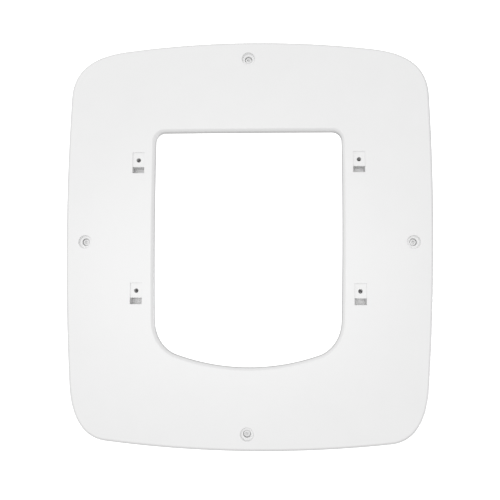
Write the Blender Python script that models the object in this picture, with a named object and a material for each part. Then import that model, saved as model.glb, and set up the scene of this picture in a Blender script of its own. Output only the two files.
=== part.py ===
"""Cavity-mount frame for a ceiling access point.

The frame stands upright as it is seen from the room: X to the right, Z up, and Y from the room into
the ceiling. The origin is on the plane of the ceiling, where the lines between the screw wells cross.
Four screws in the frame draw swing-out clamp arms against the back of the ceiling board.
"""

from math import cos, pi, radians, sin, sqrt

import bmesh
import bpy
from mathutils import Matrix, Vector

for old in list(bpy.data.objects):
    bpy.data.objects.remove(old, do_unlink=True)

MM = 0.001

# Outline of the frame, in millimetres as all sizes here.
HALF_WIDTH = 150.0
TOP = 167.4
BOTTOM = -166.2
WIDEST_AT = 41.5
SIDE_BOW_RADIUS = 2030.0
TOP_BOW_RADIUS = 815.0
BOTTOM_BOW_RADIUS = 980.0
TOP_CORNER_ALONG = 48.0
TOP_CORNER_DOWN = 46.3
BOTTOM_CORNER_ALONG = 36.7
BOTTOM_CORNER_UP = 51.2
TOP_CORNER_FULLNESS = 0.683
BOTTOM_CORNER_FULLNESS = 0.655

# Depths, counted from the plane of the ceiling towards the cavity.
FRONT = -8.0
PLATE = 2.5
RIM_LAND = 5.0
RIM_BACK = -2.0
RIM_BEVEL = 2.5

# Slightly crowned bevels: how far their faces lean from the front, at the front and at the wall.
BEVEL_LEAN_FRONT = 30.0
BEVEL_LEAN_WALL = 60.0

# The opening.
OPENING_HALF_WIDTH = 77.2
OPENING_TOP = 91.65
OPENING_BOTTOM = -101.0
OPENING_SIDE_RADIUS = 4000.0
OPENING_TOP_RADIUS = 20000.0
OPENING_BOTTOM_RADIUS = 174.0
OPENING_TOP_CORNER = 8.0
OPENING_BOTTOM_CORNER_ALONG = 19.4
OPENING_BOTTOM_CORNER_UP = 37.2
OPENING_TOP_CORNER_FULLNESS = 0.552
OPENING_BOTTOM_CORNER_FULLNESS = 0.6
OPENING_BEVEL = 2.6
COLLAR = 2.0
COLLAR_BACK = -0.5

# Stepped screw wells and what stands behind them.
WELL_FROM_SIDE = 16.6
WELL_FROM_TOP = 14.5
WELL_FROM_BOTTOM = 13.3
GAP = 0.3
CUT_CLEARANCE = 1.0
MOUTH_RADIUS = 4.9
MOUTH_DEPTH = 3.0
MOUTH_FLARE = 0.7
WELL_RADIUS = 3.05
WELL_DEPTH = 6.9
WELL_FLOOR = 2.0
BOSS_WALL = 2.0
NECK_WALL = 1.4

# Screw, clip, nut and clamp.
SHANK_RADIUS = 1.75
HEAD_HEIGHT = 2.2
SOCKET_FLATS = 2.5
SOCKET_DEPTH = 1.7
CLIP_RADIUS = 4.0
CLIP_THICKNESS = 0.6
NUT_RADIUS = 3.2
NUT_FLANGE = 0.8
NUT_FLANGE_RADIUS = 4.1
HUB_RADIUS = 4.5
HUB_LENGTH = 6.0
ARM_LENGTH = 25.0
FOOT_LENGTH = 8.0
FOOT_DROP = 2.0
PAD_THICKNESS = 1.5
PAD_MARGIN = 0.5
THICKEST_CEILING = 21.0

# Guides that the clamps run in, pressed over the necks of the wells and keyed into their steps.
GUIDE_CLEARANCE = 0.5
GUIDE_WALL = 2.2
GUIDE_COLLAR = 2.4
GUIDE_KEY = 1.0
END_PLATE = 2.0
TIP_PROUD = 1.2

# Pads for the device.
PAD_FROM_SIDE = 13.3
PAD_FROM_TOP = 23.9
PAD_FROM_BOTTOM = 61.25
RECESS_WIDTH = 9.8
RECESS_ABOVE = 6.5
RECESS_DEPTH = 1.0
RECESS_CORNER = 1.0
RECESS_BELOW_SLOT = 0.1
SLOT_WIDTH = 9.6
SLOT_HEIGHT = 5.3
SLOT_BELOW = 8.3
SLOT_DEPTH = 10.0
POCKET_WALL = 1.6
PILOT_RADIUS = 1.75
PILOT_DEPTH = 12.0
PILOT_WALL = 2.6

# Stiffening ribs and the gasket.
RIB = 1.6
RIB_BACK = -2.6
RIB_LEVEL_SHARES = (0.55, 0.5, 0.75)
RIB_ACROSS_SHARES = (0.35, 0.75)
RIB_CORNER_REACH = 1.5
GASKET_MARGIN = 0.6

# Points along each stretch of half an outline: edge, corner, side, corner, edge.
EDGE_STEPS = 6
CORNER_STEPS = 9
SIDE_STEPS = 10
ROUND_STEPS = 32
BEVEL_STEPS = 2

WELL_ACROSS = HALF_WIDTH - WELL_FROM_SIDE
STATIONS = {"top": (0.0, TOP - WELL_FROM_TOP, 0), "right": (WELL_ACROSS, 0.0, 90),
            "bottom": (0.0, BOTTOM + WELL_FROM_BOTTOM, 180), "left": (-WELL_ACROSS, 0.0, 270)}
PAD_ACROSS = OPENING_HALF_WIDTH + PAD_FROM_SIDE
UPPER_PAD = OPENING_TOP - PAD_FROM_TOP
LOWER_PAD = OPENING_BOTTOM + PAD_FROM_BOTTOM

WELL_FLOOR_AT = FRONT + WELL_DEPTH
BOSS_BACK = WELL_FLOOR_AT + WELL_FLOOR
BORE_RADIUS = SHANK_RADIUS + GAP
HEAD_RADIUS = WELL_RADIUS - GAP
PLATE_BACK = FRONT + PLATE
HUB_FRONT = THICKEST_CEILING + PAD_THICKNESS + GAP + FOOT_DROP
HUB_BACK = HUB_FRONT + HUB_LENGTH
NUT_FRONT = HUB_FRONT - GAP - NUT_FLANGE
NUT_BACK = HUB_BACK + GAP + NUT_FLANGE
NECK_RADIUS = WELL_RADIUS + NECK_WALL
STEP_BACK = FRONT + MOUTH_DEPTH + BOSS_WALL
GUIDE_INNER = max(HUB_RADIUS + GUIDE_CLEARANCE, NECK_RADIUS + GAP)
GUIDE_OUTER = GUIDE_INNER + GUIDE_WALL
GUIDE_NARROW = NECK_RADIUS + GAP + NECK_WALL
END_FRONT = NUT_BACK + GAP
END_BACK = END_FRONT + END_PLATE
SCREW_TIP = END_BACK + TIP_PROUD


def sag(across, radius):
    """How far a bowed edge falls back at a distance from its middle."""
    return radius - sqrt(radius * radius - across * across)


def slope(across, radius):
    return across / sqrt(radius * radius - across * across)


def corner_curve(start, start_way, end, end_way, fullness):
    """Corner between two edges, tangent to both, as a list of points with the last one left out."""
    cross = start_way.x * end_way.y - start_way.y * end_way.x
    gap = end - start
    along = (gap.x * end_way.y - gap.y * end_way.x) / cross
    meet = start + start_way * along
    first = start + (meet - start) * fullness
    second = end + (meet - end) * fullness
    points = []
    for step in range(CORNER_STEPS):
        t = step / CORNER_STEPS
        s = 1 - t
        points.append(start * s ** 3 + first * 3 * s * s * t + second * 3 * s * t * t + end * t ** 3)
    return points


def bowed_loop(half_width, widest, side_radius, top, top_radius, bottom, bottom_radius,
               top_along, top_down, bottom_along, bottom_up, top_full, bottom_full):
    """Closed loop of (x, z) points, clockwise from the middle of the top edge as seen from the room."""
    top_x = half_width - top_along
    bottom_x = half_width - bottom_along
    upper_z = top - top_down
    lower_z = bottom + bottom_up
    half = []
    for step in range(EDGE_STEPS):
        x = top_x * step / EDGE_STEPS
        half.append(Vector((x, top - sag(x, top_radius))))
    upper = Vector((half_width - sag(upper_z - widest, side_radius), upper_z))
    half += corner_curve(Vector((top_x, top - sag(top_x, top_radius))), Vector((1, -slope(top_x, top_radius))),
                         upper, Vector((-slope(upper_z - widest, side_radius), 1)), top_full)
    for step in range(SIDE_STEPS):
        z = upper_z + (lower_z - upper_z) * step / SIDE_STEPS
        half.append(Vector((half_width - sag(z - widest, side_radius), z)))
    lower = Vector((half_width - sag(lower_z - widest, side_radius), lower_z))
    half += corner_curve(lower, Vector((-slope(lower_z - widest, side_radius), 1)),
                         Vector((bottom_x, bottom + sag(bottom_x, bottom_radius))),
                         Vector((1, slope(bottom_x, bottom_radius))), bottom_full)
    for step in range(EDGE_STEPS):
        x = bottom_x * (1 - step / EDGE_STEPS)
        half.append(Vector((x, bottom + sag(x, bottom_radius))))
    half.append(Vector((0, bottom)))
    mirrored = [Vector((-p.x, p.y)) for p in half[-2:0:-1]]
    return half + mirrored


def grown(loop, distance):
    """The loop moved outwards by a distance, or inwards by a negative one."""
    moved = []
    for index, point in enumerate(loop):
        before = loop[index - 1]
        after = loop[(index + 1) % len(loop)]
        first = (point - before).normalized()
        second = (after - point).normalized()
        way = (first + second).normalized()
        stretch = 1 / max(0.5, way.dot(second))
        moved.append(point + Vector((-way.y, way.x)) * distance * stretch)
    return moved


def outline(inset):
    loop = bowed_loop(HALF_WIDTH, WIDEST_AT, SIDE_BOW_RADIUS, TOP, TOP_BOW_RADIUS, BOTTOM, BOTTOM_BOW_RADIUS,
                      TOP_CORNER_ALONG, TOP_CORNER_DOWN, BOTTOM_CORNER_ALONG, BOTTOM_CORNER_UP,
                      TOP_CORNER_FULLNESS, BOTTOM_CORNER_FULLNESS)
    return grown(loop, -inset)


def opening(growth):
    loop = bowed_loop(OPENING_HALF_WIDTH, WIDEST_AT, OPENING_SIDE_RADIUS, OPENING_TOP, OPENING_TOP_RADIUS,
                      OPENING_BOTTOM, OPENING_BOTTOM_RADIUS, OPENING_TOP_CORNER, OPENING_TOP_CORNER,
                      OPENING_BOTTOM_CORNER_ALONG, OPENING_BOTTOM_CORNER_UP,
                      OPENING_TOP_CORNER_FULLNESS, OPENING_BOTTOM_CORNER_FULLNESS)
    return grown(loop, growth)


def ring_of_loops(bm, loops):
    """Closed ring whose cross-section runs through the loops, each given with its depth."""
    rows = []
    for loop, depth in loops:
        rows.append([bm.verts.new((p.x * MM, depth * MM, p.y * MM)) for p in loop])
    count = len(rows[0])
    for index, row in enumerate(rows):
        after = rows[(index + 1) % len(rows)]
        for k in range(count):
            n = (k + 1) % count
            bm.faces.new((row[k], row[n], after[n], after[k]))


def lathe(bm, profile, steps=ROUND_STEPS):
    """Closed body turned about the Y axis from (radius, depth) points."""
    rows = []
    for radius, depth in profile:
        if radius == 0:
            rows.append([bm.verts.new((0, depth * MM, 0))])
            continue
        row = []
        for step in range(steps):
            angle = 2 * pi * step / steps
            row.append(bm.verts.new((radius * sin(angle) * MM, depth * MM, radius * cos(angle) * MM)))
        rows.append(row)
    pairs = list(zip(rows, rows[1:]))
    if len(rows[0]) > 1:
        pairs.append((rows[-1], rows[0]))
    for row, after in pairs:
        for step in range(steps):
            following = (step + 1) % steps
            if len(row) == 1:
                bm.faces.new((row[0], after[following], after[step]))
            elif len(after) == 1:
                bm.faces.new((row[step], row[following], after[0]))
            else:
                bm.faces.new((row[step], row[following], after[following], after[step]))


def rod(bm, radius, start, end, steps=ROUND_STEPS):
    """Round rod along the Y axis."""
    lathe(bm, [(0, start), (radius, start), (radius, end), (0, end)], steps)


def block(bm, low, high):
    """Box between two corners (x, y, z)."""
    size = Vector(high) - Vector(low)
    middle = (Vector(high) + Vector(low)) / 2
    place = Matrix.Translation(middle * MM) @ Matrix.Diagonal((*(size * MM), 1))
    return bmesh.ops.create_cube(bm, size=1, matrix=place)["verts"]


def material(name, colour, roughness, metallic=0.0):
    made = bpy.data.materials.new(name)
    made.use_nodes = True
    shader = made.node_tree.nodes["Principled BSDF"]
    shader.inputs["Base Color"].default_value = (*colour, 1)
    shader.inputs["Roughness"].default_value = roughness
    shader.inputs["Metallic"].default_value = metallic
    return made


WHITE = material("white_moulding", (0.86, 0.86, 0.86), 0.45)
COATED = material("white_coated_steel", (0.84, 0.84, 0.84), 0.4)
SPRING = material("spring_steel", (0.42, 0.42, 0.43), 0.35, 1.0)
BRASS = material("brass", (0.72, 0.55, 0.27), 0.3, 1.0)
NYLON = material("grey_nylon", (0.62, 0.63, 0.64), 0.5)
RUBBER = material("black_rubber", (0.03, 0.03, 0.03), 0.8)
FOAM = material("grey_foam", (0.16, 0.16, 0.17), 0.95)


def turned_to(turn):
    """Turn about the Y axis by whole right angles, exact so that flush faces stay flush."""
    return Matrix([[round(value) for value in row] for row in Matrix.Rotation(radians(turn), 4, "Y")])


def finish(name, bm, surface, station=None):
    """Makes the named object, turned to its station and with its origin on the station's screw axis."""
    bmesh.ops.recalc_face_normals(bm, faces=bm.faces)
    mesh = bpy.data.meshes.new(name)
    thing = bpy.data.objects.new(name, mesh)
    bpy.context.scene.collection.objects.link(thing)
    if station:
        x, z, turn = STATIONS[station]
        bmesh.ops.transform(bm, matrix=turned_to(turn), verts=bm.verts)
        thing.location = (x * MM, 0, z * MM)
    bm.to_mesh(mesh)
    bm.free()
    if surface:
        mesh.materials.append(surface)
    return thing


def tool_group(name):
    group = bpy.data.collections.new(name)
    bpy.context.scene.collection.children.link(group)
    return group


def tool(group, name, bm, station=None):
    """Hidden shape that is joined to a piece or cut from it."""
    thing = finish(name, bm, None, station)
    thing.hide_render = True
    thing.display_type = "WIRE"
    bpy.context.scene.collection.objects.unlink(thing)
    group.objects.link(thing)
    return thing


def combine(thing, group, operation):
    step = thing.modifiers.new(operation.lower(), "BOOLEAN")
    step.operation = operation
    step.solver = "EXACT"
    step.operand_type = "COLLECTION"
    step.collection = group


def bevel(width, loop_at):
    """Loops of a crowned bevel from a wall to the front, as (loop, depth)."""
    front, wall = radians(BEVEL_LEAN_FRONT), radians(BEVEL_LEAN_WALL)
    radius_across = width / (sin(wall) - sin(front))
    radius_deep = width / (cos(front) - cos(wall))
    loops = []
    for step in range(BEVEL_STEPS + 1):
        lean = wall + (front - wall) * step / BEVEL_STEPS
        inset = (sin(wall) - sin(lean)) * radius_across
        loops.append((loop_at(inset), FRONT + (cos(front) - cos(lean)) * radius_deep))
    return loops


def build_frame():
    shell = bmesh.new()
    loops = [(outline(0), RIM_BACK)] + bevel(RIM_BEVEL, outline) + bevel(OPENING_BEVEL, opening)[::-1]
    loops += [(opening(0), COLLAR_BACK), (opening(COLLAR), COLLAR_BACK), (opening(COLLAR), PLATE_BACK)]
    loops += [(outline(RIM_LAND), PLATE_BACK), (outline(RIM_LAND), RIM_BACK)]
    ring_of_loops(shell, loops)
    frame = finish("front_frame", shell, WHITE)
    added = tool_group("frame_added")
    cut = tool_group("frame_cut")
    overlap = PLATE_BACK - PLATE / 5
    for station in STATIONS:
        boss = bmesh.new()
        wide = MOUTH_RADIUS + BOSS_WALL
        lathe(boss, [(0, overlap), (wide, overlap), (wide, STEP_BACK), (NECK_RADIUS, STEP_BACK),
                     (NECK_RADIUS, BOSS_BACK), (0, BOSS_BACK)])
        tool(added, "boss_" + station, boss, station)
        guide_walls(cut, "key_seat_", station, STEP_BACK - GUIDE_KEY, STEP_BACK + CUT_CLEARANCE, GAP)
        well = bmesh.new()
        mouth_floor = FRONT + MOUTH_DEPTH
        clear = FRONT - CUT_CLEARANCE
        through = BOSS_BACK + CUT_CLEARANCE
        lathe(well, [(0, clear), (MOUTH_RADIUS + MOUTH_FLARE, clear), (MOUTH_RADIUS + MOUTH_FLARE, FRONT),
                     (MOUTH_RADIUS, mouth_floor), (WELL_RADIUS, mouth_floor), (WELL_RADIUS, WELL_FLOOR_AT),
                     (BORE_RADIUS, WELL_FLOOR_AT), (BORE_RADIUS, through), (0, through)])
        tool(cut, "well_" + station, well, station)
    for side in (-1, 1):
        for level in (UPPER_PAD, LOWER_PAD):
            mark = f"{side}_{level}"
            x = side * PAD_ACROSS
            slot_z = level - SLOT_BELOW
            boss = bmesh.new()
            pilot = PILOT_RADIUS + PILOT_WALL
            pilot_back = FRONT + RECESS_DEPTH + PILOT_DEPTH
            rod(boss, pilot, overlap, pilot_back + POCKET_WALL, 24)
            bmesh.ops.translate(boss, verts=boss.verts, vec=(x * MM, 0, level * MM))
            tool(added, "pilot_boss" + mark, boss)
            pocket = bmesh.new()
            wide = SLOT_WIDTH / 2 + POCKET_WALL
            high = SLOT_HEIGHT / 2 + POCKET_WALL
            block(pocket, (x - wide, overlap, slot_z - high),
                  (x + wide, FRONT + SLOT_DEPTH + POCKET_WALL, slot_z + high))
            tool(added, "pocket" + mark, pocket)
            hole = bmesh.new()
            rod(hole, PILOT_RADIUS, FRONT, pilot_back, 20)
            bmesh.ops.translate(hole, verts=hole.verts, vec=(x * MM, 0, level * MM))
            tool(cut, "pilot" + mark, hole)
            recess = bmesh.new()
            block(recess, (x - RECESS_WIDTH / 2, FRONT - CUT_CLEARANCE, slot_z - SLOT_HEIGHT / 2 - RECESS_BELOW_SLOT),
                  (x + RECESS_WIDTH / 2, FRONT + RECESS_DEPTH, level + RECESS_ABOVE))
            upright = [e for e in recess.edges if abs(e.verts[0].co.y - e.verts[1].co.y) > RECESS_DEPTH / 2 * MM]
            bmesh.ops.bevel(recess, geom=upright, offset=RECESS_CORNER * MM, segments=3, profile=0.5,
                            affect="EDGES", material=-1)
            tool(cut, "recess" + mark, recess)
            slot = bmesh.new()
            block(slot, (x - SLOT_WIDTH / 2, FRONT, slot_z - SLOT_HEIGHT / 2),
                  (x + SLOT_WIDTH / 2, FRONT + SLOT_DEPTH, slot_z + SLOT_HEIGHT / 2))
            tool(cut, "slot" + mark, slot)
    add_ribs(added, overlap)
    combine(frame, added, "UNION")
    combine(frame, cut, "DIFFERENCE")


def add_ribs(added, overlap):
    """Straight ribs between the collar of the opening and the rim."""
    inner = OPENING_HALF_WIDTH + COLLAR / 2
    above, middle, below = RIB_LEVEL_SHARES
    for level in (UPPER_PAD + above * (OPENING_TOP - UPPER_PAD), middle * UPPER_PAD, below * OPENING_BOTTOM):
        outer = HALF_WIDTH - sag(level - WIDEST_AT, SIDE_BOW_RADIUS) - RIM_LAND / 2
        for side in (-1, 1):
            rib = bmesh.new()
            start = inner - sag(level - WIDEST_AT, OPENING_SIDE_RADIUS)
            if level < OPENING_BOTTOM + OPENING_BOTTOM_CORNER_UP:
                start -= RIB_CORNER_REACH
            ends = sorted((side * start, side * outer))
            block(rib, (ends[0], overlap, level - RIB / 2), (ends[1], RIB_BACK, level + RIB / 2))
            tool(added, f"side_rib_{side}_{level:.0f}", rib)
    for share in RIB_ACROSS_SHARES:
        across = share * OPENING_HALF_WIDTH
        for side in (-1, 1):
            x = side * across
            rib = bmesh.new()
            block(rib, (x - RIB / 2, overlap, OPENING_TOP + COLLAR / 2),
                  (x + RIB / 2, RIB_BACK, TOP - sag(across, TOP_BOW_RADIUS) - RIM_LAND / 2))
            tool(added, f"top_rib_{side}_{share}", rib)
            rib = bmesh.new()
            block(rib, (x - RIB / 2, overlap, BOTTOM + sag(across, BOTTOM_BOW_RADIUS) + RIM_LAND / 2),
                  (x + RIB / 2, RIB_BACK, OPENING_BOTTOM + sag(across, OPENING_BOTTOM_RADIUS) - COLLAR / 2))
            tool(added, f"bottom_rib_{side}_{share}", rib)


def guide_walls(group, name, station, front, back, margin=0.0):
    """The two walls of a clamp guide, behind and beside the clamp's hub, as hidden shapes."""
    inner, outer, edge = GUIDE_INNER - margin, GUIDE_OUTER + margin, HUB_RADIUS + margin
    wall = bmesh.new()
    block(wall, (-outer, front, -outer), (outer, back, -inner))
    tool(group, name + "back_" + station, wall, station)
    wall = bmesh.new()
    block(wall, (inner, front, -outer), (outer, back, edge))
    tool(group, name + "side_" + station, wall, station)


def build_guide(station):
    """Collar over the neck of a well, two walls that stop the arm at both ends of its swing, and an end plate."""
    collar_front = STEP_BACK + GAP
    collar = bmesh.new()
    block(collar, (-GUIDE_NARROW, collar_front, -GUIDE_OUTER),
          (GUIDE_OUTER, collar_front + GUIDE_COLLAR, GUIDE_NARROW))
    guide = finish("clamp_guide_" + station, collar, WHITE, station)
    added = tool_group("guide_added_" + station)
    cut = tool_group("guide_cut_" + station)
    guide_walls(added, "wall_", station, collar_front - GUIDE_KEY, END_BACK)
    end = bmesh.new()
    block(end, (-HUB_RADIUS, END_FRONT, -GUIDE_OUTER), (GUIDE_OUTER, END_BACK, HUB_RADIUS))
    tool(added, "end_plate_" + station, end, station)
    neck = bmesh.new()
    rod(neck, NECK_RADIUS + GAP, collar_front - CUT_CLEARANCE, collar_front + GUIDE_COLLAR + CUT_CLEARANCE)
    tool(cut, "neck_" + station, neck, station)
    bearing = bmesh.new()
    rod(bearing, BORE_RADIUS, END_FRONT - CUT_CLEARANCE, END_BACK + CUT_CLEARANCE)
    tool(cut, "bearing_" + station, bearing, station)
    combine(guide, added, "UNION")
    combine(guide, cut, "DIFFERENCE")


def build_gasket():
    ring = bmesh.new()
    front = RIM_BACK + GAP
    outer = outline(GASKET_MARGIN)
    inner = outline(RIM_LAND - GASKET_MARGIN)
    ring_of_loops(ring, [(outer, front), (inner, front), (inner, 0), (outer, 0)])
    finish("rim_gasket", ring, FOAM)


def build_clamp(station):
    sockets = tool_group("socket_cut_" + station)
    screw = bmesh.new()
    under = WELL_FLOOR_AT - GAP
    face = under - HEAD_HEIGHT
    crown = HEAD_HEIGHT / 3
    point = SHANK_RADIUS / 3
    lathe(screw, [(0, face), (HEAD_RADIUS - crown, face), (HEAD_RADIUS - crown * 0.3, face + crown * 0.4),
                  (HEAD_RADIUS, face + crown * 1.2), (HEAD_RADIUS, under), (SHANK_RADIUS, under),
                  (SHANK_RADIUS, SCREW_TIP - point), (SHANK_RADIUS - point, SCREW_TIP), (0, SCREW_TIP)], 24)
    screw_object = finish("clamp_screw_" + station, screw, COATED, station)
    socket = bmesh.new()
    corner = SOCKET_FLATS / sqrt(3)
    rod(socket, corner, face - CUT_CLEARANCE, face + SOCKET_DEPTH, 6)
    tool(sockets, "socket_" + station, socket, station)
    combine(screw_object, sockets, "DIFFERENCE")

    clip = bmesh.new()
    near = BOSS_BACK + GAP
    far = near + CLIP_THICKNESS
    lathe(clip, [(BORE_RADIUS, near), (CLIP_RADIUS, near), (CLIP_RADIUS, far), (BORE_RADIUS, far)], 24)
    finish("screw_clip_" + station, clip, SPRING, station)

    nut = bmesh.new()
    waist_front = NUT_FRONT + NUT_FLANGE
    waist_back = NUT_BACK - NUT_FLANGE
    lathe(nut, [(BORE_RADIUS, NUT_FRONT), (NUT_FLANGE_RADIUS, NUT_FRONT), (NUT_FLANGE_RADIUS, waist_front),
                (NUT_RADIUS, waist_front), (NUT_RADIUS, waist_back), (NUT_FLANGE_RADIUS, waist_back),
                (NUT_FLANGE_RADIUS, NUT_BACK), (BORE_RADIUS, NUT_BACK)], 24)
    finish("clamp_nut_" + station, nut, BRASS, station)

    arm = arm_body()
    arm_object = finish("clamp_arm_" + station, arm, NYLON, station)
    bores = tool_group("bore_cut_" + station)
    bore = bmesh.new()
    hub_bore = NUT_RADIUS + GAP
    rod(bore, hub_bore, HUB_FRONT - FOOT_DROP - CUT_CLEARANCE, HUB_BACK + CUT_CLEARANCE, 24)
    tool(bores, "bore_" + station, bore, station)
    combine(arm_object, bores, "DIFFERENCE")

    pad = bmesh.new()
    foot_start = ARM_LENGTH - FOOT_LENGTH
    half = HUB_RADIUS - PAD_MARGIN
    block(pad, (-ARM_LENGTH + PAD_MARGIN, THICKEST_CEILING, -half),
          (-foot_start - PAD_MARGIN, THICKEST_CEILING + PAD_THICKNESS, half))
    finish("grip_pad_" + station, pad, RUBBER, station)


def arm_body():
    """Clamp arm folded along the rim: a round hub, a bar and a foot that reaches towards the ceiling board."""
    bm = bmesh.new()
    foot_start = ARM_LENGTH - FOOT_LENGTH
    outline_points = []
    steps = 12
    for step in range(steps + 1):
        angle = pi * step / steps
        outline_points.append((HUB_RADIUS * sin(angle), HUB_RADIUS * cos(angle)))
    outline_points += [(-foot_start, -HUB_RADIUS), (-ARM_LENGTH, -HUB_RADIUS)]
    outline_points += [(-ARM_LENGTH, HUB_RADIUS), (-foot_start, HUB_RADIUS)]
    ring = [bm.verts.new((x * MM, HUB_BACK * MM, z * MM)) for x, z in outline_points]
    face = bm.faces.new(ring)
    grown_part = bmesh.ops.extrude_face_region(bm, geom=[face])
    moved = [v for v in grown_part["geom"] if isinstance(v, bmesh.types.BMVert)]
    bmesh.ops.translate(bm, verts=moved, vec=(0, -HUB_LENGTH * MM, 0))
    tip = [v for v in moved if v.co.x < -(foot_start - 0.01) * MM]
    fronts = [f for f in bm.faces if all(v in moved for v in f.verts)]
    front = max(fronts, key=lambda f: len(f.verts))
    low = next(v for v in tip if v.co.x > -(foot_start + 0.01) * MM and v.co.z < 0)
    high = next(v for v in tip if v.co.x > -(foot_start + 0.01) * MM and v.co.z > 0)
    bmesh.utils.face_split(front, low, high)
    foot = next(f for f in bm.faces if len(f.verts) == 4 and all(v in tip for v in f.verts))
    drop = bmesh.ops.extrude_face_region(bm, geom=[foot])
    bmesh.ops.delete(bm, geom=[foot], context="FACES_ONLY")
    dropped = [v for v in drop["geom"] if isinstance(v, bmesh.types.BMVert)]
    bmesh.ops.translate(bm, verts=dropped, vec=(0, -FOOT_DROP * MM, 0))
    return bm


build_frame()
build_gasket()
for name in STATIONS:
    build_guide(name)
    build_clamp(name)
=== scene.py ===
"""Looks of the ceiling access point's mounting frame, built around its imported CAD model."""

from math import cos, pi, radians, sin, sqrt

import bmesh
import bpy
from mathutils import Matrix, Vector
from mathutils.geometry import interpolate_bezier


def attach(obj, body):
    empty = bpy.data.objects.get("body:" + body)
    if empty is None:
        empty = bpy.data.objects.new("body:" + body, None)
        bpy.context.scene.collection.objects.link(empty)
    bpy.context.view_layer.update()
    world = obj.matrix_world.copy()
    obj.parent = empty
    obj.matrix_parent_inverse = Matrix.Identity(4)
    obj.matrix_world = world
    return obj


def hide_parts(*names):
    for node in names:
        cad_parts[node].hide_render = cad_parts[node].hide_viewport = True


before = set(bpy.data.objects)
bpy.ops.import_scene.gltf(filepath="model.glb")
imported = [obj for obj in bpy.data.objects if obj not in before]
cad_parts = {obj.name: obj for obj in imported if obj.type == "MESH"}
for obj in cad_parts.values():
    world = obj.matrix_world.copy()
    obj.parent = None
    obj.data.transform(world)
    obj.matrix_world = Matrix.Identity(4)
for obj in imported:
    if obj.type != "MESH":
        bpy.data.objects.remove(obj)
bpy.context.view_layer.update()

MM = 0.001

# Sizes in millimetres, as in the part's source. X is right and Z up as seen from the room, and Y goes into
# the ceiling. A corner is given as its reach along the edge, its reach along the side and its fullness.
HALF_WIDTH, TOP, BOTTOM, WIDEST_AT = 150.0, 167.4, -166.2, 41.5
SIDE_BOW, TOP_BOW, BOTTOM_BOW = 2030.0, 815.0, 980.0
TOP_CORNER, BOTTOM_CORNER = (48.0, 46.3, 0.683), (36.7, 51.2, 0.655)
FRONT, PLATE_BACK, RIM_BACK, RIM_LAND = -8.0, -5.5, -2.0, 5.0
RIM_BEVEL, BEVEL_LEAN_FRONT, BEVEL_LEAN_WALL, BEVEL_STEPS = 2.5, 30, 60, 4
OPENING_HALF_WIDTH, OPENING_TOP, OPENING_BOTTOM = 77.2, 91.65, -101.0
OPENING_SIDE_BOW, OPENING_TOP_BOW, OPENING_BOTTOM_BOW = 4000.0, 20000.0, 174.0
OPENING_TOP_CORNER, OPENING_BOTTOM_CORNER = (8.0, 8.0, 0.552), (19.4, 37.2, 0.6)
OPENING_BEVEL, COLLAR, COLLAR_BACK = 2.6, 2.0, -0.5
GAP = 0.3

# Where each well is, across and up, and how far its clamp is turned.
STATIONS = {"top": (0.0, 152.9, 0), "right": (133.4, 0.0, 90),
            "bottom": (0.0, -152.9, 180), "left": (-133.4, 0.0, 270)}
MOUTH_RADIUS, MOUTH_FLOOR, MOUTH_FLARE = 4.9, -5.0, 0.7
WELL_RADIUS, WELL_FLOOR, NECK_RADIUS, BOSS_BACK = 3.05, -1.1, 4.45, 0.9
STEP_RADIUS, STEP_BACK, KEY = 6.9, -3.0, 1.0
BORE_RADIUS, HEAD_RADIUS, SHANK_RADIUS = 2.05, 2.75, 1.75
HEAD_FACE, HEAD_UNDER, SOCKET_FLATS, SOCKET_DEPTH = -3.6, -1.4, 2.5, 1.7
PITCH, THREAD_DEPTH = 1.6, 0.4
CLIP_RADIUS, CLIP_FRONT, CLIP_BACK = 4.0, 1.2, 1.8
NUT_FRONT, NUT_BACK, NUT_RADIUS, NUT_FLANGE, NUT_FLANGE_RADIUS = 23.7, 31.9, 3.2, 0.8, 4.1
HUB_FRONT, HUB_BACK, HUB_RADIUS = 24.8, 30.8, 4.5
ARM_LENGTH, FOOT_LENGTH, FOOT_DROP = 25.0, 8.0, 2.0
PAD_FRONT, PAD_BACK, PAD_MARGIN = 21.0, 22.5, 0.5
GUIDE_INNER, GUIDE_OUTER, GUIDE_NARROW, GUIDE_COLLAR = 5.0, 7.2, 6.15, 2.4
END_FRONT, END_BACK, SCREW_TIP = 32.2, 34.2, 35.4

PAD_ACROSS, UPPER_PAD, LOWER_PAD = 90.5, 67.75, -39.75
RECESS_HALF, RECESS_ABOVE, RECESS_BELOW, RECESS_DEPTH = 4.9, 6.5, 10.95, 1.0
SLOT_HALF, SLOT_HALF_HEIGHT, SLOT_BELOW, SLOT_FLOOR, POCKET_WALL = 4.8, 2.65, 8.3, 2.0, 1.6
PILOT_RADIUS, PILOT_FLOOR, PILOT_WALL = 1.75, 5.0, 2.6
RIB, RIB_BACK, RIB_CORNER_REACH = 1.6, -2.6, 1.5
RIB_LEVEL_SHARES, RIB_ACROSS_SHARES = (0.55, 0.5, 0.75), (0.35, 0.75)

# Details that only the scene has: rounded edges, ejector-pin marks, and the teeth of the clips.
FRAME_ROUND, BOSS_ROUND, POCKET_ROUND, RECESS_ROUND, RIB_ROUND = 0.4, 0.4, 0.5, 0.35, 0.25
STEP_ROUND, WELL_ROUND, PILOT_ROUND, GUIDE_ROUND, BEARING_ROUND = 0.3, 0.15, 0.2, 0.35, 0.3
FOAM_MARGIN, FOAM_ROUND = 0.6, 0.3
PIN_MARKS = (115, 112), (116, 52), (113, -22), (110, -112), (42, 128), (42, -130)
PIN_RADIUS, PIN_DEPTH = 3.0, 0.15
TEETH, TOOTH_HALF, TOOTH_ROOT, TOOTH_LEAN, CLIP_SHEET = 6, 0.75, 2.9, 14, 0.35
ARM_ROUND, ARM_WALL, HOLLOW_DEPTH, HOLLOW_ROUND = 0.5, 1.6, 3.5, 0.4
ARM_HOLLOWS = (-ARM_LENGTH + ARM_WALL, -15.6), (-14.4, -6.2)
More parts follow.
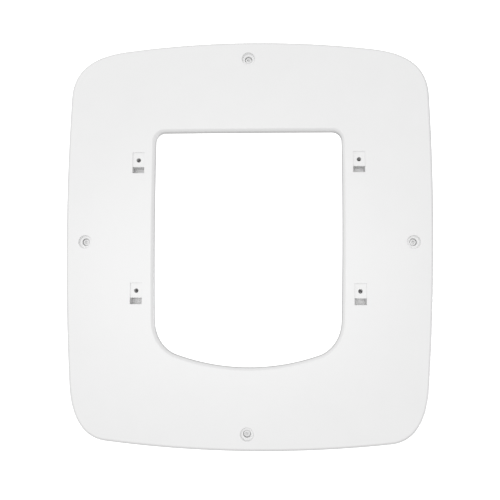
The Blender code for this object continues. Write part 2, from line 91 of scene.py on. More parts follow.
GRIP_RIDGES, GRIP_DIP = 5, 0.6

# The part's facets cut FACET_SAG off its bowed sides, and the outline stays inside them. Points of a carved
# piece that are nearer than SLIVER are merged, and a tool that cuts through reaches CLEAR past the far side.
FACET_SAG, SLIVER, CLEAR = 0.02, 0.002, 1.0

# Points along the edges, corners and sides of half a loop, and around turned pieces.
EDGE_STEPS, CORNER_STEPS, SIDE_STEPS = 16, 22, 26
WELL_STEPS, BOSS_STEPS, TURN_STEPS, CLIP_STEPS, SMALL_STEPS = 64, 48, 40, 36, 32

# The light is strongest from SKY_FROM. A lamp has a place, a width and height, and watts, and points at the
# middle of the frame. The floor lies just below the bottom clamp arm when that is swung out.
SKY_FROM, SKY_LOW, SKY_HIGH = (-0.200, -0.930, 0.310), 0.30, 0.87
LAMPS = {"front_lamp": ((-90.0, -1000.0, 10.0), (840.0, 540.0), 2.65),
         "rear_lamp": ((600.0, 560.0, -220.0), (600.0, 600.0), 2.6)}
FLOOR_LEVEL = STATIONS["bottom"][1] - ARM_LENGTH - 0.5
ROOM_SIZE = 12

# The photograph's camera: angles in degrees, millimetres per pixel at the front of the frame, and pixels to
# that plane, to the right of its middle and below it.
AZIMUTH, ELEVATION, ROLL = 2.307, -4.727, 0.22
PIXEL, REACH, ASIDE, BELOW, PICTURE = 0.81, 600, 2.33, 8.2, 500
SENSOR = 36


class Value:
    """A number that varies over a surface. Arithmetic on it adds Math nodes."""

    def __init__(self, paint, socket):
        self.paint = paint
        self.socket = socket

    def maths(self, operation, first, second):
        made = self.paint.node("ShaderNodeMath", {"operation": operation}, {0: first, 1: second})
        return Value(self.paint, made.outputs[0])

    def __add__(self, other):
        return self.maths("ADD", self, other)

    def __sub__(self, other):
        return self.maths("SUBTRACT", self, other)

    def __mul__(self, other):
        return self.maths("MULTIPLY", self, other)


class Paint:
    """The nodes of one material, or of the world."""

    def __init__(self, owner):
        owner.use_nodes = True
        self.owner = owner
        self.tree = owner.node_tree

    def node(self, kind, settings=None, inputs=None):
        made = self.tree.nodes.new(kind)
        for key, setting in (settings or {}).items():
            setattr(made, key, setting)
        for key, value in (inputs or {}).items():
            if isinstance(value, Value):
                self.tree.links.new(value.socket, made.inputs[key])
            elif isinstance(value, bpy.types.NodeSocket):
                self.tree.links.new(value, made.inputs[key])
            else:
                made.inputs[key].default_value = value
        return made

    def noise(self, size, detail=2.0):
        """Noise from 0 to 1 whose grains are about size millimetres across."""
        place = self.node("ShaderNodeTexCoord").outputs["Object"]
        settings = {"Vector": place, "Scale": 1 / (size * MM), "Detail": detail}
        made = self.node("ShaderNodeTexNoise", None, settings)
        return Value(self, made.outputs["Fac"])

    def between(self, share, low, high):
        """Colour that goes from low to high with share. Each is three numbers, or a colour that varies."""
        low, high = (end if isinstance(end, bpy.types.NodeSocket) else (*end, 1) for end in (low, high))
        made = self.node("ShaderNodeMix", {"data_type": "RGBA"}, {"Factor": share, 6: low, 7: high})
        return made.outputs[2]

    def bump(self, height, depth):
        return self.node("ShaderNodeBump", None, {"Height": height, "Distance": depth * MM}).outputs["Normal"]


def greys(low, high):
    return (low,) * 3, (high,) * 3


def surface(name, low, high, rough, metallic=0.0, mottle=20.0, grain=0.3, grain_depth=0.01):
    """Principled material: a faint mottle in its colour and sheen, and a fine grain in its relief."""
    paint = Paint(bpy.data.materials.new(name))
    shader = paint.tree.nodes["Principled BSDF"]
    cloud = paint.noise(mottle)
    sheen = cloud * (rough[1] - rough[0]) + rough[0]
    paint.tree.links.new(paint.between(cloud, low, high), shader.inputs["Base Color"])
    paint.tree.links.new(sheen.socket, shader.inputs["Roughness"])
    paint.tree.links.new(paint.bump(paint.noise(grain, 3.0), grain_depth), shader.inputs["Normal"])
    shader.inputs["Metallic"].default_value = metallic
    return paint.owner


def white_headed_zinc():
    """Zinc plate, with a white coat on the head of the screw."""
    paint = Paint(bpy.data.materials.new("white_headed_zinc"))
    shader = paint.tree.nodes["Principled BSDF"]
    place = paint.node("ShaderNodeTexCoord").outputs["Object"]
    depth = Value(paint, paint.node("ShaderNodeSeparateXYZ", None, {0: place}).outputs["Y"])
    bare = depth.maths("GREATER_THAN", depth, HEAD_UNDER * MM)
    cloud = paint.noise(3.0)
    coat = paint.between(cloud, *greys(0.82, 0.86))
    zinc = paint.between(cloud, (0.60, 0.60, 0.61), (0.72, 0.72, 0.72))
    sheen = cloud * 0.12 + 0.34 - bare * 0.10
    paint.tree.links.new(paint.between(bare, coat, zinc), shader.inputs["Base Color"])
    paint.tree.links.new(sheen.socket, shader.inputs["Roughness"])
    paint.tree.links.new(bare.socket, shader.inputs["Metallic"])
    paint.tree.links.new(paint.bump(paint.noise(0.2, 3.0), 0.004), shader.inputs["Normal"])
    return paint.owner


WHITE = surface("satin_white", *greys(0.84, 0.86), (0.28, 0.34), grain=0.25, grain_depth=0.004)
SCREW = white_headed_zinc()
SPRING = surface("plain_spring_steel", (0.30, 0.30, 0.31), (0.40, 0.40, 0.41), (0.30, 0.45), 1.0, 3.0,
                 0.2, 0.004)
BRASS = surface("turned_brass", (0.66, 0.49, 0.22), (0.76, 0.58, 0.30), (0.22, 0.36), 1.0, 3.0, 0.2, 0.004)
NYLON = surface("grey_moulded_nylon", (0.50, 0.51, 0.52), (0.56, 0.57, 0.58), (0.42, 0.55), 0.0, 8.0,
                0.25, 0.01)
RUBBER = surface("dull_rubber", *greys(0.020, 0.035), (0.65, 0.80), 0.0, 4.0, 0.2, 0.01)
FOAM = surface("closed_cell_foam", (0.11, 0.11, 0.115), (0.17, 0.17, 0.18), (0.85, 0.95), 0.0, 1.5,
               0.5, 0.12)


def sag(across, radius):
    """How far a bowed edge falls back at a distance from its middle."""
    return radius - sqrt(radius * radius - across * across)


def slope(across, radius):
    return across / sqrt(radius * radius - across * across)


def corner(start, start_way, end, end_way, fullness):
    """Corner between two edges, tangent to both, with its last point left out."""
    along = (end - start).cross(end_way) / start_way.cross(end_way)
    meet = start + start_way * along
    first = start.lerp(meet, fullness)
    second = end.lerp(meet, fullness)
    return list(interpolate_bezier(start, first, second, end, CORNER_STEPS + 1))[:-1]


def bowed_loop(half_width, side_bow, top, top_bow, bottom, bottom_bow, top_corner, bottom_corner):
    """Points (x, z) of a loop with bowed edges, clockwise from the middle of its top as seen from the room."""
    top_x, upper = half_width - top_corner[0], top - top_corner[1]
    bottom_x, lower = half_width - bottom_corner[0], bottom + bottom_corner[1]

    def side(z):
        return Vector((half_width - sag(z - WIDEST_AT, side_bow), z))

    def side_way(z):
        return Vector((-slope(z - WIDEST_AT, side_bow), 1))

    def over(x):
        return Vector((x, top - sag(x, top_bow)))

    def under(x):
        return Vector((x, bottom + sag(x, bottom_bow)))

    half = [over(top_x * k / EDGE_STEPS) for k in range(EDGE_STEPS)]
    over_way = Vector((1, -slope(top_x, top_bow)))
    half += corner(over(top_x), over_way, side(upper), side_way(upper), top_corner[2])
    half += [side(upper + (lower - upper) * k / SIDE_STEPS) for k in range(SIDE_STEPS)]
    under_way = Vector((1, slope(bottom_x, bottom_bow)))
    half += corner(side(lower), side_way(lower), under(bottom_x), under_way, bottom_corner[2])
    half += [under(bottom_x * (1 - k / EDGE_STEPS)) for k in range(EDGE_STEPS + 1)]
    return half + [Vector((-p.x, p.y)) for p in half[-2:0:-1]]


OUTLINE = bowed_loop(HALF_WIDTH - FACET_SAG, SIDE_BOW, TOP, TOP_BOW, BOTTOM, BOTTOM_BOW, TOP_CORNER,
                     BOTTOM_CORNER)
OPENING = bowed_loop(OPENING_HALF_WIDTH, OPENING_SIDE_BOW, OPENING_TOP, OPENING_TOP_BOW, OPENING_BOTTOM,
                     OPENING_BOTTOM_BOW, OPENING_TOP_CORNER, OPENING_BOTTOM_CORNER)


def places(loop, growth, depth):
    """Where a loop's points lie once it is moved outwards by growth and back to a depth."""
    points = []
    for index, point in enumerate(loop):
        way = (loop[(index + 1) % len(loop)] - loop[index - 1]).normalized()
        place = point + Vector((-way.y, way.x)) * growth
        points.append(Vector((place.x, depth, place.y)) * MM)
    return points


def ring_body(bm, section):
    """Closed ring swept along a loop, whose cross-section runs through (loop, growth, depth) points."""
    verts = [bm.verts.new(place) for place in places(*section[0])]
    edges = [bm.edges.new((verts[k - 1], verts[k])) for k in range(len(verts))]
    for point in section[1:] + section[:1]:
        made = bmesh.ops.extrude_edge_only(bm, edges=edges)["geom"]
        edges = [e for e in made if isinstance(e, bmesh.types.BMEdge)]
        copies = {v.co.to_tuple(8): v for v in made if isinstance(v, bmesh.types.BMVert)}
        verts = [copies[v.co.to_tuple(8)] for v in verts]
        for vert, place in zip(verts, places(*point)):
            vert.co = place
    bmesh.ops.remove_doubles(bm, verts=bm.verts, dist=1e-7)


def quarter(loop, growth, depth, radius, start, end, steps=2):
    """Points of a rounded edge: growth and depth are its centre, start and end its angles in degrees."""
    points = []
    for k in range(steps + 1):
        angle = radians(start + (end - start) * k / steps)
        points.append((loop, growth + radius * cos(angle), depth + radius * sin(angle)))
    return points


def turned(bm, profile, steps=TURN_STEPS):
    """Closed body turned about the Y axis from (radius, depth) points."""
    verts = [bm.verts.new((0, depth * MM, radius * MM)) for radius, depth in profile]
    edges = [bm.edges.new(pair) for pair in zip(verts, verts[1:])]
    if profile[0][0] > 0:
        edges.append(bm.edges.new((verts[-1], verts[0])))
    bmesh.ops.spin(bm, geom=verts + edges, angle=2 * pi, steps=steps, axis=(0, 1, 0), cent=(0, 0, 0),
                   use_merge=True)
    bmesh.ops.remove_doubles(bm, verts=bm.verts, dist=1e-7)


def block(bm, low, high, round_off=0.0, segments=2):
    """Box between two corners, with its edges rounded off."""
    size, middle = (Vector(high) - Vector(low)) * MM, (Vector(high) + Vector(low)) / 2 * MM
    place = Matrix.Translation(middle) @ Matrix.Diagonal((*size, 1))
    made = bmesh.ops.create_cube(bm, size=1, matrix=place)["verts"]
    if round_off:
        edges = list({e for v in made for e in v.link_edges})
        bmesh.ops.bevel(bm, geom=edges, offset=round_off * MM, segments=segments, profile=0.5, affect="EDGES",
                        material=-1)


def at_station(bm, station):
    """Moves a piece to its well, turned by exact right angles so that flush faces stay flush."""
    x, z, turn = STATIONS[station]
    exact = [[round(value) for value in row] for row in Matrix.Rotation(radians(turn), 4, "Y")]
    bmesh.ops.transform(bm, matrix=Matrix(exact), verts=bm.verts)
    bmesh.ops.translate(bm, vec=(x * MM, 0, z * MM), verts=bm.verts)


def plain_object(name, bm):
    bmesh.ops.recalc_face_normals(bm, faces=bm.faces)
    mesh = bpy.data.meshes.new(name)
    bm.to_mesh(mesh)
    bm.free()
    thing = bpy.data.objects.new(name, mesh)
    bpy.context.scene.collection.objects.link(thing)
    return thing


def carve(thing, tools, operation):
    """Joins the tools to a piece or cuts them from it, removes them, and clears slivers from the result."""
    group = bpy.data.collections.new("tools")
    for tool in tools:
        group.objects.link(tool)
    step = thing.modifiers.new("carve", "BOOLEAN")
    step.operation, step.solver, step.operand_type, step.collection = operation, "EXACT", "COLLECTION", group
    carved = bpy.data.meshes.new_from_object(thing.evaluated_get(bpy.context.evaluated_depsgraph_get()))
    thing.modifiers.clear()
    thing.data = carved
    bm = bmesh.new()
    bm.from_mesh(carved)
    bmesh.ops.remove_doubles(bm, verts=bm.verts, dist=SLIVER * MM)
    bmesh.ops.dissolve_degenerate(bm, dist=SLIVER * MM, edges=bm.edges)
    bm.to_mesh(carved)
    bm.free()
    for tool in tools:
        bpy.data.objects.remove(tool, do_unlink=True)
    bpy.data.collections.remove(group)


def finished(thing, look, body, node, sharp=35):
    """Piece that stands for a CAD node: smooth where its faces meet gently, riding on the node's body."""
    mesh = thing.data
    mesh.materials.clear()
    mesh.materials.append(look)
    mesh.shade_smooth()
    mesh.set_sharp_from_angle(angle=radians(sharp))
    even = thing.modifiers.new("even_normals", "WEIGHTED_NORMAL")
    even.keep_sharp = True
    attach(thing, body)
    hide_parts(node)


def bevel(loop, width, outwards):
    """Slightly crowned bevel between the front and a wall, from the front to the wall."""
    near, far = radians(BEVEL_LEAN_FRONT), radians(BEVEL_LEAN_WALL)
    radius = width / (sin(far) - sin(near))
    growth = -outwards * (width + radius * sin(near))
    points = quarter(loop, 0, FRONT + radius * cos(near), radius, -90 + BEVEL_LEAN_FRONT,
                     -90 + BEVEL_LEAN_WALL, BEVEL_STEPS)
    return [(loop, growth + outwards * across, depth) for _, across, depth in points]


def moulded_frame():
    bm = bmesh.new()
    soft = FRAME_ROUND
    section = quarter(OUTLINE, -soft, RIM_BACK - soft, soft, 90, 0)
    section += bevel(OUTLINE, RIM_BEVEL, 1)[::-1]
    section += bevel(OPENING, OPENING_BEVEL, -1)
    section += quarter(OPENING, soft, COLLAR_BACK - soft, soft, 180, 90)
    section += quarter(OPENING, COLLAR - soft, COLLAR_BACK - soft, soft, 90, 0)
    section += [(OPENING, COLLAR, PLATE_BACK), (OUTLINE, -RIM_LAND, PLATE_BACK)]
    section += quarter(OUTLINE, -RIM_LAND + soft, RIM_BACK - soft, soft, 180, 90)
    ring_body(bm, section)
    piece = plain_object("moulded_frame", bm)
    carve(piece, frame_additions(), "UNION")
    carve(piece, frame_cuts(), "DIFFERENCE")
    finished(piece, WHITE, "frame", "front_frame")


def turned_at(name, x, z, profile, steps):
    """Turned body that is moved across and up."""
    bm = bmesh.new()
    turned(bm, profile, steps)
    bmesh.ops.translate(bm, vec=(x * MM, 0, z * MM), verts=bm.verts)
    return plain_object(name, bm)


def block_at(name, low, high, round_off=0.0, segments=2):
    bm = bmesh.new()
    block(bm, low, high, round_off, segments)
    return plain_object(name, bm)


def pads():
    return [(x, level) for x in (-PAD_ACROSS, PAD_ACROSS) for level in (UPPER_PAD, LOWER_PAD)]


def frame_additions():
    """Bosses, slot pockets and ribs behind the plate."""
    sunk = PLATE_BACK - 0.5
    tools = []
    for station in STATIONS:
        bm = bmesh.new()
        turned(bm, [(0, sunk), (STEP_RADIUS, sunk), (STEP_RADIUS, STEP_BACK - STEP_ROUND),
                    (STEP_RADIUS - STEP_ROUND, STEP_BACK), (NECK_RADIUS, STEP_BACK),
                    (NECK_RADIUS, BOSS_BACK - BOSS_ROUND), (NECK_RADIUS - BOSS_ROUND, BOSS_BACK),
                    (0, BOSS_BACK)], BOSS_STEPS)
        at_station(bm, station)
        tools.append(plain_object("boss", bm))
    boss, back = PILOT_RADIUS + PILOT_WALL, PILOT_FLOOR + POCKET_WALL
    wide, high = SLOT_HALF + POCKET_WALL, SLOT_HALF_HEIGHT + POCKET_WALL
    for x, level in pads():
        profile = [(0, sunk), (boss, sunk), (boss, back - BOSS_ROUND), (boss - BOSS_ROUND, back), (0, back)]
        tools.append(turned_at("pilot_boss", x, level, profile, SMALL_STEPS))
        z = level - SLOT_BELOW
        tools.append(block_at("pocket", (x - wide, sunk - 0.7, z - high),
                              (x + wide, SLOT_FLOOR + POCKET_WALL, z + high), POCKET_ROUND))
    return tools + ribs(sunk)


def ribs(sunk):
    """Straight ribs between the collar of the opening and the rim."""
    boxes = []
    upper, middle, lower = RIB_LEVEL_SHARES
    for level in (UPPER_PAD + upper * (OPENING_TOP - UPPER_PAD), middle * UPPER_PAD, lower * OPENING_BOTTOM):
        outer = HALF_WIDTH - sag(level - WIDEST_AT, SIDE_BOW) - RIM_LAND / 2
        inner = OPENING_HALF_WIDTH - sag(level - WIDEST_AT, OPENING_SIDE_BOW) + COLLAR / 2
        if level < OPENING_BOTTOM + OPENING_BOTTOM_CORNER[1]:
            inner -= RIB_CORNER_REACH
        boxes.append((inner, level - RIB / 2, outer, level + RIB / 2))
    for share in RIB_ACROSS_SHARES:
        x = share * OPENING_HALF_WIDTH
        rim_top, rim_bottom = TOP - sag(x, TOP_BOW) - RIM_LAND / 2, BOTTOM + sag(x, BOTTOM_BOW) + RIM_LAND / 2
        boxes.append((x - RIB / 2, OPENING_TOP + COLLAR / 2, x + RIB / 2, rim_top))
        boxes.append((x - RIB / 2, rim_bottom, x + RIB / 2,
                      OPENING_BOTTOM + sag(x, OPENING_BOTTOM_BOW) - COLLAR / 2))
    tools = []
    for left, low, right, high in boxes:
        for side in (-1, 1):
            first, last = sorted((side * left, side * right))
            tools.append(block_at("rib", (first, sunk, low), (last, RIB_BACK, high), RIB_ROUND))
    return tools


def frame_cuts():
    """Wells, pads, slots and pilot holes, and the marks of the ejector pins behind."""
    tools = []
    wide = MOUTH_RADIUS + MOUTH_FLARE
    for station in STATIONS:
        bm = bmesh.new()
        turned(bm, [(0, FRONT - CLEAR), (wide + 0.1, FRONT - CLEAR), (wide + 0.1, FRONT),
                    (wide - 0.15, FRONT + 0.12), (MOUTH_RADIUS, MOUTH_FLOOR - WELL_ROUND),
                    (MOUTH_RADIUS - WELL_ROUND, MOUTH_FLOOR), (WELL_RADIUS + WELL_ROUND, MOUTH_FLOOR),
                    (WELL_RADIUS, MOUTH_FLOOR + WELL_ROUND), (WELL_RADIUS, WELL_FLOOR),
                    (BORE_RADIUS, WELL_FLOOR), (BORE_RADIUS, BOSS_BACK + CLEAR), (0, BOSS_BACK + CLEAR)],
               WELL_STEPS)
        at_station(bm, station)
        tools.append(plain_object("well", bm))
        tools += guide_walls(station, STEP_BACK - KEY, STEP_BACK + CLEAR, GAP)
    pad_face = FRONT + RECESS_DEPTH
    for x, level in pads():
        profile = [(0, FRONT), (PILOT_RADIUS + PILOT_ROUND, FRONT), (PILOT_RADIUS + PILOT_ROUND, pad_face),
                   (PILOT_RADIUS, pad_face + PILOT_ROUND), (PILOT_RADIUS, PILOT_FLOOR), (0, PILOT_FLOOR)]
        tools.append(turned_at("pilot", x, level, profile, SMALL_STEPS))
        tools.append(block_at("recess", (x - RECESS_HALF, FRONT - CLEAR, level - RECESS_BELOW),
                              (x + RECESS_HALF, pad_face, level + RECESS_ABOVE), RECESS_ROUND, 3))
        z = level - SLOT_BELOW
        tools.append(block_at("slot", (x - SLOT_HALF, FRONT, z - SLOT_HALF_HEIGHT),
                              (x + SLOT_HALF, SLOT_FLOOR, z + SLOT_HALF_HEIGHT)))
    floor, past = PLATE_BACK - PIN_DEPTH, PLATE_BACK + CLEAR
    for across, level in PIN_MARKS:
        for x in (-across, across):
            profile = [(0, floor), (PIN_RADIUS, floor), (PIN_RADIUS, past), (0, past)]
            tools.append(turned_at("pin_mark", x, level, profile, SMALL_STEPS))
    return tools


def guide_walls(station, front, back, margin=0.0, round_off=0.0):
    """The walls of a clamp guide, which stop the arm at both ends of its swing."""
    inner, outer, edge = GUIDE_INNER - margin, GUIDE_OUTER + margin, HUB_RADIUS + margin
    tools = []
    walls = ((-outer, front, -outer), (outer, back, -inner)), ((inner, front, -outer), (outer, back, edge))
    for low, high in walls:
        bm = bmesh.new()
        block(bm, low, high, round_off)
        at_station(bm, station)
        tools.append(plain_object("guide_wall", bm))
    return tools


def guide_tower(station):
    """Guide on the neck of a well: a collar, two walls and an end plate with a bearing for the screw."""
    front, soft = STEP_BACK + GAP, GUIDE_ROUND
    bm = bmesh.new()
    back = front + GUIDE_COLLAR
    block(bm, (-GUIDE_NARROW, front, -GUIDE_OUTER), (GUIDE_OUTER, back, GUIDE_NARROW), soft)
    at_station(bm, station)
    piece = plain_object("guide_tower_" + station, bm)
    tools = guide_walls(station, front - KEY, END_BACK, 0.0, soft)
    bm = bmesh.new()
    block(bm, (-HUB_RADIUS, END_FRONT, -GUIDE_OUTER), (GUIDE_OUTER, END_BACK, HUB_RADIUS), soft)
    at_station(bm, station)
    carve(piece, tools + [plain_object("end_plate", bm)], "UNION")
    cuts = []
    for radius, start, end in ((NECK_RADIUS + GAP, front, back), (BORE_RADIUS, END_FRONT, END_BACK)):
        bm = bmesh.new()
        wide = radius + BEARING_ROUND
        turned(bm, [(0, start - CLEAR), (wide, start - CLEAR), (wide, start), (radius, start + BEARING_ROUND),
                    (radius, end - BEARING_ROUND), (wide, end), (wide, end + CLEAR), (0, end + CLEAR)])
        at_station(bm, station)
        cuts.append(plain_object("bore", bm))
    carve(piece, cuts, "DIFFERENCE")
    finished(piece, WHITE, "frame", "clamp_guide_" + station)


def foam_ring():
    bm = bmesh.new()
    margin, soft, front = FOAM_MARGIN, FOAM_ROUND, RIM_BACK + GAP
    section = quarter(OUTLINE, -margin - soft, -soft, soft, 90, 0)
    section += quarter(OUTLINE, -margin - soft, front + soft, soft, 0, -90)
    section += quarter(OUTLINE, margin - RIM_LAND + soft, front + soft, soft, -90, -180)
    section += quarter(OUTLINE, margin - RIM_LAND + soft, -soft, soft, 180, 90)
    ring_body(bm, section)
    piece = plain_object("foam_ring", bm)
    finished(piece, FOAM, "frame", "rim_gasket")


def socket_screw(station):
    """Screw with a rounded head, a hexagon socket and a rolled thread."""
    bm = bmesh.new()
    core = SHANK_RADIUS - THREAD_DEPTH
    turned(bm, [(0, HEAD_FACE), (HEAD_RADIUS - 0.75, HEAD_FACE), (HEAD_RADIUS - 0.4, HEAD_FACE + 0.12),
                (HEAD_RADIUS - 0.12, HEAD_FACE + 0.4), (HEAD_RADIUS, HEAD_FACE + 0.9),
                (HEAD_RADIUS, HEAD_UNDER - 0.2), (HEAD_RADIUS - 0.2, HEAD_UNDER), (SHANK_RADIUS, HEAD_UNDER),
                (SHANK_RADIUS, CLIP_BACK + 0.4), (core, CLIP_BACK + 0.8), (core, SCREW_TIP - 0.5),
                (core - 0.5, SCREW_TIP), (0, SCREW_TIP)])
    at_station(bm, station)
    piece = plain_object("socket_screw_" + station, bm)
    bm = bmesh.new()
    across = SOCKET_FLATS / sqrt(3)
    bmesh.ops.create_cone(bm, cap_ends=True, segments=6, radius1=across * MM, radius2=across * MM,
                          depth=(SOCKET_DEPTH + 1) * MM, matrix=Matrix.Rotation(pi / 2, 4, "X"))
    bmesh.ops.translate(bm, vec=(0, (HEAD_FACE + (SOCKET_DEPTH - 1) / 2) * MM, 0), verts=bm.verts)
    at_station(bm, station)
    carve(piece, [plain_object("socket", bm)], "DIFFERENCE")
    bm = bmesh.new()
    bm.from_mesh(piece.data)
    thread(bm, core, station)
    bm.to_mesh(piece.data)
    bm.free()
    finished(piece, SCREW, "screw_" + station, "clamp_screw_" + station)


def thread(bm, core, station):
    """Helical ridge from behind the clip to the tip."""
    ridge = bmesh.new()
    start, steps = CLIP_BACK + 1.2, 24
    turns = int((SCREW_TIP - 0.9 - start) / PITCH)
    points = [(core - 0.1, -0.55), (SHANK_RADIUS, -0.1), (SHANK_RADIUS, 0.1), (core - 0.1, 0.55)]
    verts = [ridge.verts.new((0, (start + along) * MM, radius * MM)) for radius, along in points]
    first = ridge.faces.new(verts)
    bmesh.ops.spin(ridge, geom=[first], angle=-2 * pi * turns, steps=steps * turns, axis=(0, 1, 0),
                   cent=(0, 0, 0), dvec=(0, PITCH / steps * MM, 0))
    bmesh.ops.recalc_face_normals(ridge, faces=ridge.faces)
    at_station(ridge, station)
    take_in(bm, ridge)


def take_in(bm, other):
    """Adds the faces of another body to a body."""
    mesh = bpy.data.meshes.new("other")
    other.to_mesh(mesh)
    other.free()
    bm.from_mesh(mesh)
    bpy.data.meshes.remove(mesh)


def push_clip(station):
    """Thin ring with teeth that bend back and grip the shank."""
    bm = bmesh.new()
    edge, root, back = 0.08, TOOTH_ROOT, CLIP_FRONT + CLIP_SHEET
    turned(bm, [(root, CLIP_FRONT), (CLIP_RADIUS - edge, CLIP_FRONT), (CLIP_RADIUS, CLIP_FRONT + edge),
                (CLIP_RADIUS, back), (root, back)], CLIP_STEPS)
    lean = Matrix.Rotation(radians(TOOTH_LEAN), 3, "X")
    for k in range(TEETH):
        tooth = bmesh.new()
        block(tooth, (-TOOTH_HALF, CLIP_FRONT, SHANK_RADIUS + edge), (TOOTH_HALF, CLIP_FRONT + 0.3, root + 0.3))
        bmesh.ops.rotate(tooth, cent=(0, CLIP_FRONT * MM, root * MM), matrix=lean, verts=tooth.verts)
        turn = Matrix.Rotation(k * 2 * pi / TEETH, 3, "Y")
        bmesh.ops.rotate(tooth, cent=(0, 0, 0), matrix=turn, verts=tooth.verts)
        take_in(bm, tooth)
    at_station(bm, station)
    finished(plain_object("push_clip_" + station, bm), SPRING, "screw_" + station, "screw_clip_" + station)


def threaded_bush(station):
    """Round bush with a flange at each end, between which the arm's hub turns."""
    bm = bmesh.new()
    edge, lead = 0.15, 0.3
    wide = NUT_FLANGE_RADIUS
    front, back = NUT_FRONT + NUT_FLANGE, NUT_BACK - NUT_FLANGE
    turned(bm, [(BORE_RADIUS + lead, NUT_FRONT), (wide - edge, NUT_FRONT), (wide, NUT_FRONT + edge),
                (wide, front - edge), (wide - edge, front), (NUT_RADIUS, front),
                (NUT_RADIUS, back), (wide - edge, back), (wide, back + edge),
                (wide, NUT_BACK - edge), (wide - edge, NUT_BACK), (BORE_RADIUS + lead, NUT_BACK),
                (BORE_RADIUS, NUT_BACK - lead), (BORE_RADIUS, NUT_FRONT + lead)])
    at_station(bm, station)
    finished(plain_object("threaded_bush_" + station, bm), BRASS, "nut_" + station, "clamp_nut_" + station)


def swing_arm(station):
    """Clamp arm folded along the rim: hub, hollowed bar, and a foot that reaches towards the ceiling board."""
    bm = bmesh.new()
    foot = ARM_LENGTH - FOOT_LENGTH
    steps, ring = 24, []
    for k in range(steps + 1):
        angle = pi * k / steps
        ring.append((HUB_RADIUS * sin(angle), HUB_RADIUS * cos(angle)))
    ring += [(-foot, -HUB_RADIUS), (-ARM_LENGTH, -HUB_RADIUS), (-ARM_LENGTH, HUB_RADIUS), (-foot, HUB_RADIUS)]
    face = bm.faces.new([bm.verts.new((x * MM, HUB_BACK * MM, z * MM)) for x, z in ring])
    grown = bmesh.ops.extrude_face_region(bm, geom=[face])["geom"]
    front = [v for v in grown if isinstance(v, bmesh.types.BMVert)]
    bmesh.ops.translate(bm, verts=front, vec=(0, (HUB_FRONT - HUB_BACK) * MM, 0))
    bend = [v for v in front if abs(v.co.x + foot * MM) < 1e-6]
    flat = next(f for f in bend[0].link_faces if bend[1] in f.verts)
    bmesh.utils.face_split(flat, bend[0], bend[1])
    halves = [f for f in bend[0].link_faces if bend[1] in f.verts]
    sole = next(f for f in halves if f.calc_center_median().x < -foot * MM)
    drop = bmesh.ops.extrude_face_region(bm, geom=[sole])["geom"]
    bmesh.ops.delete(bm, geom=[sole], context="FACES_ONLY")
    lowered = [v for v in drop if isinstance(v, bmesh.types.BMVert)]
    bmesh.ops.translate(bm, verts=lowered, vec=(0, -FOOT_DROP * MM, 0))
    bmesh.ops.recalc_face_normals(bm, faces=bm.faces)
    crisp = [e for e in bm.edges if e.calc_face_angle(0) > radians(30)]
    bmesh.ops.bevel(bm, geom=crisp, offset=ARM_ROUND * MM, segments=3, profile=0.5, affect="EDGES", material=-1)
    at_station(bm, station)
    piece = plain_object("swing_arm_" + station, bm)
    cuts = []
    bm = bmesh.new()
    bore = NUT_RADIUS + GAP
    before, behind = HUB_FRONT - 4 * CLEAR, HUB_BACK + CLEAR
    turned(bm, [(0, before), (bore, before), (bore, behind), (0, behind)])
    at_station(bm, station)
    cuts.append(plain_object("hub_bore", bm))
    half = HUB_RADIUS - ARM_WALL
    for start, end in ARM_HOLLOWS:
        bm = bmesh.new()
        block(bm, (start, HUB_BACK - HOLLOW_DEPTH, -half), (end, behind, half), HOLLOW_ROUND)
        at_station(bm, station)
        cuts.append(plain_object("hollow", bm))
    carve(piece, cuts, "DIFFERENCE")
    finished(piece, NYLON, "arm_" + station, "clamp_arm_" + station)


def grip_rubber(station):
    """Pad with ridges across the arm."""
    bm = bmesh.new()
    left, right = -ARM_LENGTH + PAD_MARGIN, -(ARM_LENGTH - FOOT_LENGTH) - PAD_MARGIN
    half, dip = HUB_RADIUS - PAD_MARGIN, GRIP_DIP
    outline = [(right, PAD_BACK), (left, PAD_BACK)]
    pitch = (right - left) / GRIP_RIDGES
    for k in range(GRIP_RIDGES):
        start = left + k * pitch
        outline += [(start, PAD_FRONT + dip), (start + pitch * 0.3, PAD_FRONT),
                    (start + pitch * 0.7, PAD_FRONT)]
    outline.append((right, PAD_FRONT + dip))
    face = bm.faces.new([bm.verts.new((x * MM, y * MM, -half * MM)) for x, y in outline])
    grown = bmesh.ops.extrude_face_region(bm, geom=[face])["geom"]
    far = [v for v in grown if isinstance(v, bmesh.types.BMVert)]
    bmesh.ops.translate(bm, verts=far, vec=(0, 0, 2 * half * MM))
    at_station(bm, station)
    finished(plain_object("grip_rubber_" + station, bm), RUBBER, "arm_" + station, "grip_pad_" + station)


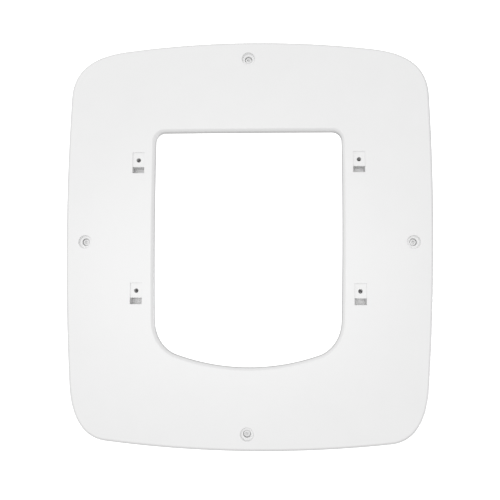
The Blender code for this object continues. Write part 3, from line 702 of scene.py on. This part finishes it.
def studio():
    """Soft light from the front, strongest from above and the left, in a white room with a pale floor."""
    scene = bpy.context.scene
    scene.view_settings.view_transform = "Standard"
    world = bpy.data.worlds.new("studio")
    scene.world = world
    sky = Paint(world)
    way = sky.node("ShaderNodeTexCoord").outputs["Generated"]
    facing = sky.node("ShaderNodeVectorMath", {"operation": "DOT_PRODUCT"}, {0: way, 1: SKY_FROM})
    share = Value(sky, facing.outputs["Value"]) * 0.5 + 0.5
    light = sky.between(share, (SKY_LOW,) * 3, (SKY_HIGH,) * 3)
    sky.tree.links.new(light, sky.tree.nodes["Background"].inputs["Color"])
    white = Paint(bpy.data.materials.new("white_room"))
    shader = white.tree.nodes["Principled BSDF"]
    shader.inputs["Base Color"].default_value = (0.9, 0.9, 0.9, 1)
    shader.inputs["Roughness"].default_value = 0.9
    shader.inputs["Specular IOR Level"].default_value = 0.0
    shader.inputs["Emission Color"].default_value = (1, 1, 1, 1)
    shader.inputs["Emission Strength"].default_value = 1.0
    bm = bmesh.new()
    bmesh.ops.create_grid(bm, x_segments=1, y_segments=1, size=ROOM_SIZE,
                          matrix=Matrix.Translation((0, 0, FLOOR_LEVEL * MM)))
    room = bmesh.new()
    bmesh.ops.create_icosphere(room, subdivisions=4, radius=ROOM_SIZE)
    for thing in (plain_object("floor", bm), plain_object("room", room)):
        thing.data.materials.append(white.owner)
        thing.visible_diffuse = False
        thing.visible_glossy = False
        thing.visible_shadow = False
    for name, (place, (width, height), watts) in LAMPS.items():
        data = bpy.data.lights.new(name, "AREA")
        data.shape, data.size, data.size_y, data.energy = "ELLIPSE", width * MM, height * MM, watts
        lamp = bpy.data.objects.new(name, data)
        lamp.location = Vector(place) * MM
        lamp.rotation_euler = Vector(place).to_track_quat("Z", "Y").to_euler()
        lamp.visible_camera = False
        scene.collection.objects.link(lamp)


def photo_camera():
    """Camera at the photograph's angle: a little below the middle of the frame and to its right."""
    azimuth, elevation, roll = radians(AZIMUTH), radians(ELEVATION), radians(ROLL)
    back = Vector((sin(azimuth) * cos(elevation), -cos(azimuth) * cos(elevation), sin(elevation)))
    level = Vector((cos(azimuth), sin(azimuth), 0))
    right = level * cos(roll) + back.cross(level) * sin(roll)
    up = back.cross(right)
    spot = Vector((0, FRONT, 0)) + (back * REACH + right * ASIDE - up * BELOW) * PIXEL
    data = bpy.data.cameras.new("camera")
    data.sensor_width = SENSOR
    data.lens = SENSOR * REACH / PICTURE
    camera = bpy.data.objects.new("camera", data)
    turn = Matrix((right, up, back)).transposed().to_4x4()
    camera.matrix_world = Matrix.Translation(spot * MM) @ turn
    bpy.context.scene.collection.objects.link(camera)
    bpy.context.scene.camera = camera


moulded_frame()
foam_ring()
for side in STATIONS:
    guide_tower(side)
    socket_screw(side)
    push_clip(side)
    threaded_bush(side)
    swing_arm(side)
    grip_rubber(side)
studio()
photo_camera()
